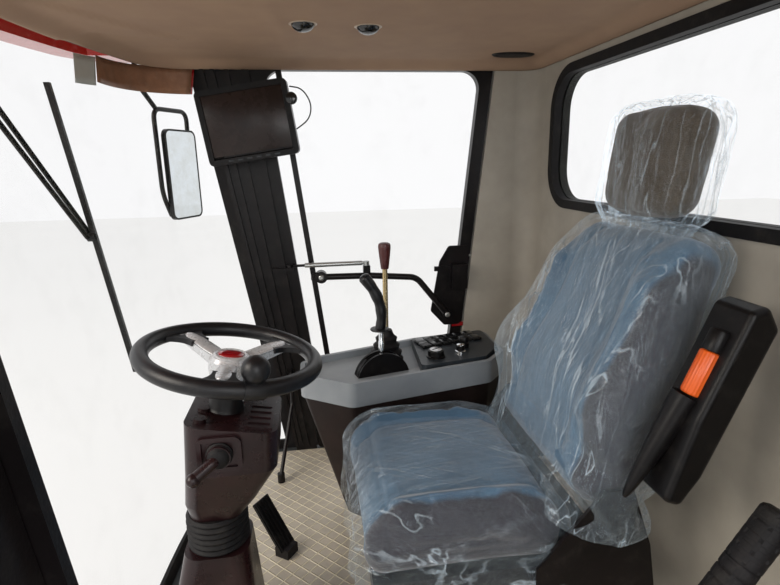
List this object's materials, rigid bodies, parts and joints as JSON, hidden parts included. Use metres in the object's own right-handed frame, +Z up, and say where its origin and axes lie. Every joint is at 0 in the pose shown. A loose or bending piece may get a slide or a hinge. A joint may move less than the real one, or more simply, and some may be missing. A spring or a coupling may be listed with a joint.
{
  "type": "forage harvester cab",
  "caption": "Glazed operator's cab of a forage harvester with hinged doors, sprung seat, steering column, side console and levers, carried on rubber mounts.",
  "frame": {"origin": "centre of the rectangle of the four mount holes, at the underside of the rubber mounts", "axes": "+X forward, +Y the driver's left, +Z up"},
  "size_m": [1.8158, 2.9863, 1.91],
  "materials": {
    "frame_steel": "satin black paint",
    "cab_red": "gloss red paint",
    "wall_trim": "warm grey moulded trim",
    "roof_trim": "beige brown moulded liner",
    "tread": "diamond tread plate",
    "pane": "clear glass",
    "rubber_black": "black rubber",
    "plastic_black": "grained black plastic",
    "plastic_grey": "grey moulded plastic",
    "plastic_brown": "dark brown moulded plastic",
    "bright_steel": "bright steel",
    "seat_fabric": "blue grey seat fabric",
    "head_fabric": "olive brown fabric",
    "orange_plastic": "orange plastic"
  },
  "bodies": {
    "cab": {"cab_mounts": "rubber_black", "base_frame": "frame_steel", "floor_pan": "frame_steel", "tread_plate": "tread", "front_pillar_right": "frame_steel", "front_pillar_left": "frame_steel", "rear_corner_right": "wall_trim", "rear_corner_left": "wall_trim", "rear_wall": "wall_trim", "rear_window_gasket": "rubber_black", "rear_window_glass": "pane", "windscreen_glass": "pane", "windscreen_seal": "rubber_black", "roof_beam": "frame_steel", "headliner": "roof_trim", "roof_cap": "cab_red", "ceiling_fittings": "plastic_black", "column_foot": "plastic_brown", "column_bellows": "rubber_black", "console_band": "plastic_grey", "console_body": "plastic_brown", "switch_panel": "plastic_grey", "console_switches": "plastic_black", "lever_quadrant": "plastic_black", "drive_lever": "plastic_black", "gear_gaiter": "rubber_black", "gear_lever": "bright_steel", "accelerator_pedal": "plastic_black", "hand_rod": "frame_steel", "parking_brake": "plastic_black", "seat_base": "plastic_black", "monitor": "plastic_black", "monitor_arm": "frame_steel", "mirror_right": "plastic_black", "mirror_left": "plastic_black", "wiper": "plastic_black"},
    "column": {"column_housing": "plastic_black"},
    "wheel": {"steering_rim": "plastic_black", "steering_hub": "bright_steel"},
    "seat": {"seat_frame": "frame_steel", "seat_cushion": "seat_fabric"},
    "back": {"backrest": "seat_fabric", "headrest": "head_fabric"},
    "arm": {"armrest": "plastic_black", "armrest_roller": "orange_plastic"},
    "door_right": {"door_right_frame": "frame_steel", "door_right_glass": "pane", "door_right_handle": "frame_steel"},
    "door_left": {"door_left_frame": "frame_steel", "door_left_glass": "pane", "door_left_handle": "frame_steel"},
    "spring_right_inner": {"spring_right_rod": "bright_steel"},
    "spring_right_outer": {"spring_right_tube": "bright_steel"},
    "spring_left_inner": {"spring_left_rod": "bright_steel"},
    "spring_left_outer": {"spring_left_tube": "bright_steel"}
  },
  "joints": [
    {"name": "column_tilt", "type": "hinge", "parent": "cab", "child": "column", "pos_m": [0.45, 0, 0.512], "axis": [0, -1, 0], "range_deg": [0, 12]},
    {"name": "steering_turn", "type": "hinge", "parent": "column", "child": "wheel", "pos_m": [0.387, 0, 0.928], "axis": [-0.1736, 0, 0.9848], "continuous": true},
    {"name": "seat_slide", "type": "slide", "parent": "cab", "child": "seat", "axis": [1, 0, 0], "range_m": [0, 0.1]},
    {"name": "backrest_recline", "type": "hinge", "parent": "seat", "child": "back", "pos_m": [-0.362, 0, 0.662], "axis": [0, 1, 0], "range_deg": [0, 20]},
    {"name": "armrest_fold", "type": "hinge", "parent": "back", "child": "arm", "pos_m": [-0.413, 0.33, 0.79], "axis": [0, 1, 0], "range_deg": [0, 110]},
    {"name": "door_right_swing", "type": "hinge", "parent": "cab", "child": "door_right", "pos_m": [0.411, -0.928, 0.9], "axis": [0, 0, 1], "range_deg": [0, 80]},
    {"name": "door_left_swing", "type": "hinge", "parent": "cab", "child": "door_left", "pos_m": [0.411, 0.928, 0.9], "axis": [0, 0, 1], "range_deg": [0, 80]},
    {"name": "spring_right_swing", "type": "hinge", "parent": "cab", "child": "spring_right_inner", "pos_m": [0.292, -0.846, 0.957], "axis": [0, 0, 1], "range_deg": [-1, 87.5]},
    {"name": "spring_right_slide", "type": "slide", "parent": "spring_right_inner", "child": "spring_right_outer", "axis": [-1, 0, 0], "range_m": [-0.002, 0.184]},
    {"name": "spring_left_swing", "type": "hinge", "parent": "cab", "child": "spring_left_inner", "pos_m": [0.292, 0.846, 0.957], "axis": [0, 0, 1], "range_deg": [-1, 87.5]},
    {"name": "spring_left_slide", "type": "slide", "parent": "spring_left_inner", "child": "spring_left_outer", "axis": [-0.0677, 0.9977, 0], "range_m": [-0.184, 0.002]}
  ],
  "couplings": [
    {"joint": "spring_right_swing", "follows": "door_right_swing", "ratio": 1.0765},
    {"joint": "spring_right_slide", "follows": "door_right_swing", "m_per_rad": 0.13016},
    {"joint": "spring_left_swing", "follows": "door_left_swing", "ratio": 1.0765},
    {"joint": "spring_left_slide", "follows": "door_left_swing", "m_per_rad": -0.13016}
  ]
}
